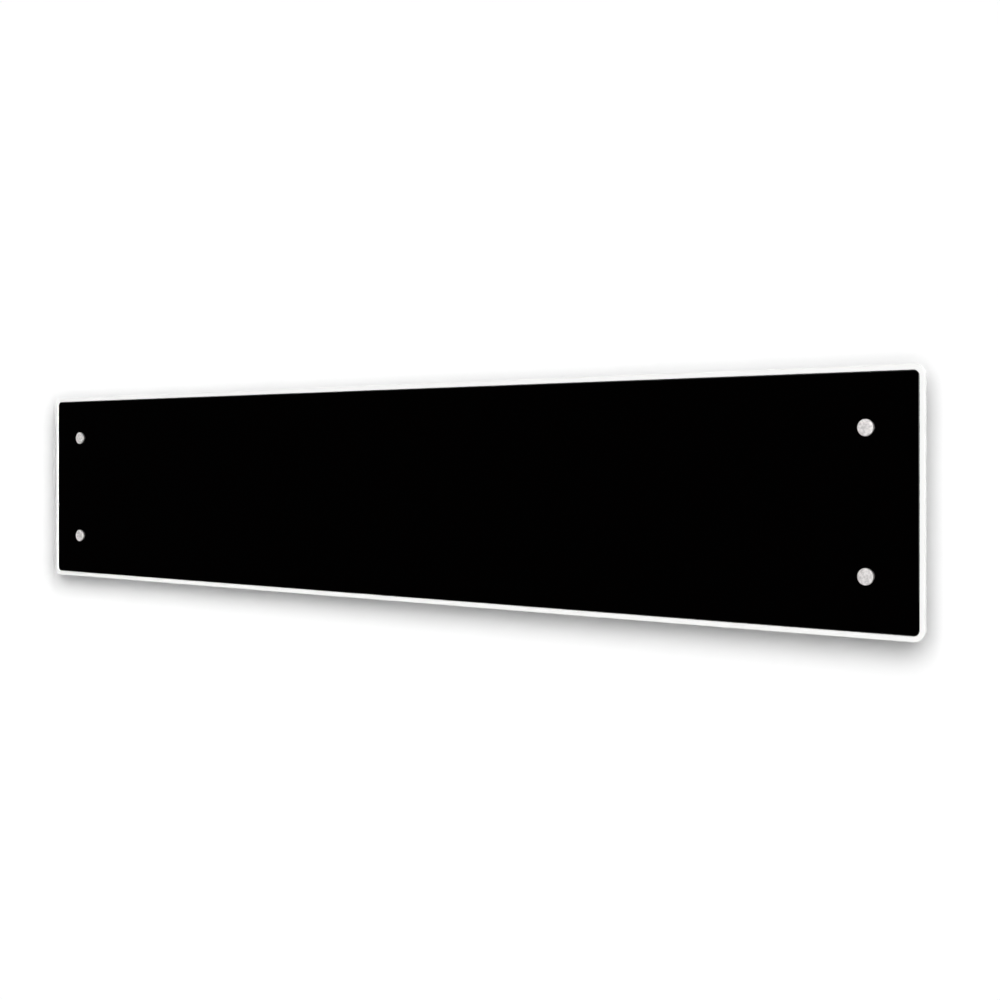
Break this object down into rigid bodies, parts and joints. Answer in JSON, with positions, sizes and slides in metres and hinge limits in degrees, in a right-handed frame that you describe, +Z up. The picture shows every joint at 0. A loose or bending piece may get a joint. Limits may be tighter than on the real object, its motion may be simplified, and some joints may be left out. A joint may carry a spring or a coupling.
{
  "type": "glass panel heater",
  "caption": "Wall-hung electric panel heater: black glass front in a thin white rim, finned element in a vented casing, hung on a hook bracket.",
  "frame": {"origin": "on the wall, at the centre of the bracket rail's back face, at the middle of the panel's width and height", "axes": "+X along the panel's width, towards the right as seen from the room; +Y into the wall, so the glass faces -Y; +Z up"},
  "size_m": [1.14, 0.082, 0.22],
  "materials": {
    "black_glass": "gloss",
    "white_steel": "fine powder coat",
    "cap_metal": "turned satin",
    "zinc_steel": "zinc plated",
    "bracket_steel": "powder coat",
    "aluminium": "mill",
    "rod_steel": "heat tinted",
    "ceramic": "matt",
    "silicone": "matt",
    "black_plastic": "fine grain",
    "grey_plastic": "fine grain",
    "display_glass": "gloss",
    "circuit_board": "solder mask",
    "lead_sleeve": "matt"
  },
  "bodies": {
    "wall_mount": {"bracket_rail": "bracket_steel", "bracket_arm_left": "bracket_steel", "bracket_arm_right": "bracket_steel"},
    "heater": {"glass_front": "black_glass", "front_tray": "white_steel", "bedding_strip_top": "silicone", "bedding_strip_bottom": "silicone", "glass_cap_top_left": "cap_metal", "glass_cap_bottom_left": "cap_metal", "glass_cap_top_right": "cap_metal", "glass_cap_bottom_right": "cap_metal", "glass_stud_top_left": "zinc_steel", "glass_stud_bottom_left": "zinc_steel", "glass_stud_top_right": "zinc_steel", "glass_stud_bottom_right": "zinc_steel", "glass_grommet_top_left": "silicone", "glass_grommet_bottom_left": "silicone", "glass_grommet_top_right": "silicone", "glass_grommet_bottom_right": "silicone", "rear_casing": "white_steel", "end_panel_left": "white_steel", "end_panel_right": "white_steel", "casing_screw_1": "zinc_steel", "casing_screw_2": "zinc_steel", "casing_screw_3": "zinc_steel", "casing_screw_4": "zinc_steel", "top_grille": "white_steel", "heat_shield": "aluminium", "heating_element": "aluminium", "element_rod": "rod_steel", "element_bracket_left": "zinc_steel", "element_bracket_right": "zinc_steel", "element_bush_left": "ceramic", "element_bush_right": "ceramic", "partition": "zinc_steel", "thermal_cutout": "zinc_steel", "control_housing": "black_plastic", "display_window": "display_glass", "display_module": "display_glass", "control_board": "circuit_board", "wireless_module": "zinc_steel", "power_board": "circuit_board", "relay": "black_plastic", "terminal_block": "grey_plastic", "cable_gland": "black_plastic", "gland_nut": "black_plastic", "sensor_clip": "grey_plastic", "room_sensor": "black_plastic", "lead_return": "lead_sleeve", "lead_live": "lead_sleeve", "lead_control": "lead_sleeve", "lead_supply": "lead_sleeve", "lead_sensor": "lead_sleeve", "switch_body": "black_plastic"},
    "minus_key": {"button_minus": "grey_plastic"},
    "mode_key": {"button_mode": "grey_plastic"},
    "plus_key": {"button_plus": "grey_plastic"},
    "rocker": {"power_rocker": "grey_plastic"}
  },
  "joints": [
    {"name": "lift_off", "type": "slide", "parent": "wall_mount", "child": "heater", "axis": [0, 0, 1], "range_m": [0, 0.012]},
    {"name": "press_minus", "type": "slide", "parent": "heater", "child": "minus_key", "axis": [0, 0, -1], "range_m": [0, 0.001], "stiffness_N_per_m": 400},
    {"name": "press_mode", "type": "slide", "parent": "heater", "child": "mode_key", "axis": [0, 0, -1], "range_m": [0, 0.001], "stiffness_N_per_m": 400},
    {"name": "press_plus", "type": "slide", "parent": "heater", "child": "plus_key", "axis": [0, 0, -1], "range_m": [0, 0.001], "stiffness_N_per_m": 400},
    {"name": "power_tilt", "type": "hinge", "parent": "heater", "child": "rocker", "pos_m": [0.5305, -0.04845, -0.045], "axis": [0, -1, 0], "range_deg": [0, 24]}
  ]
}
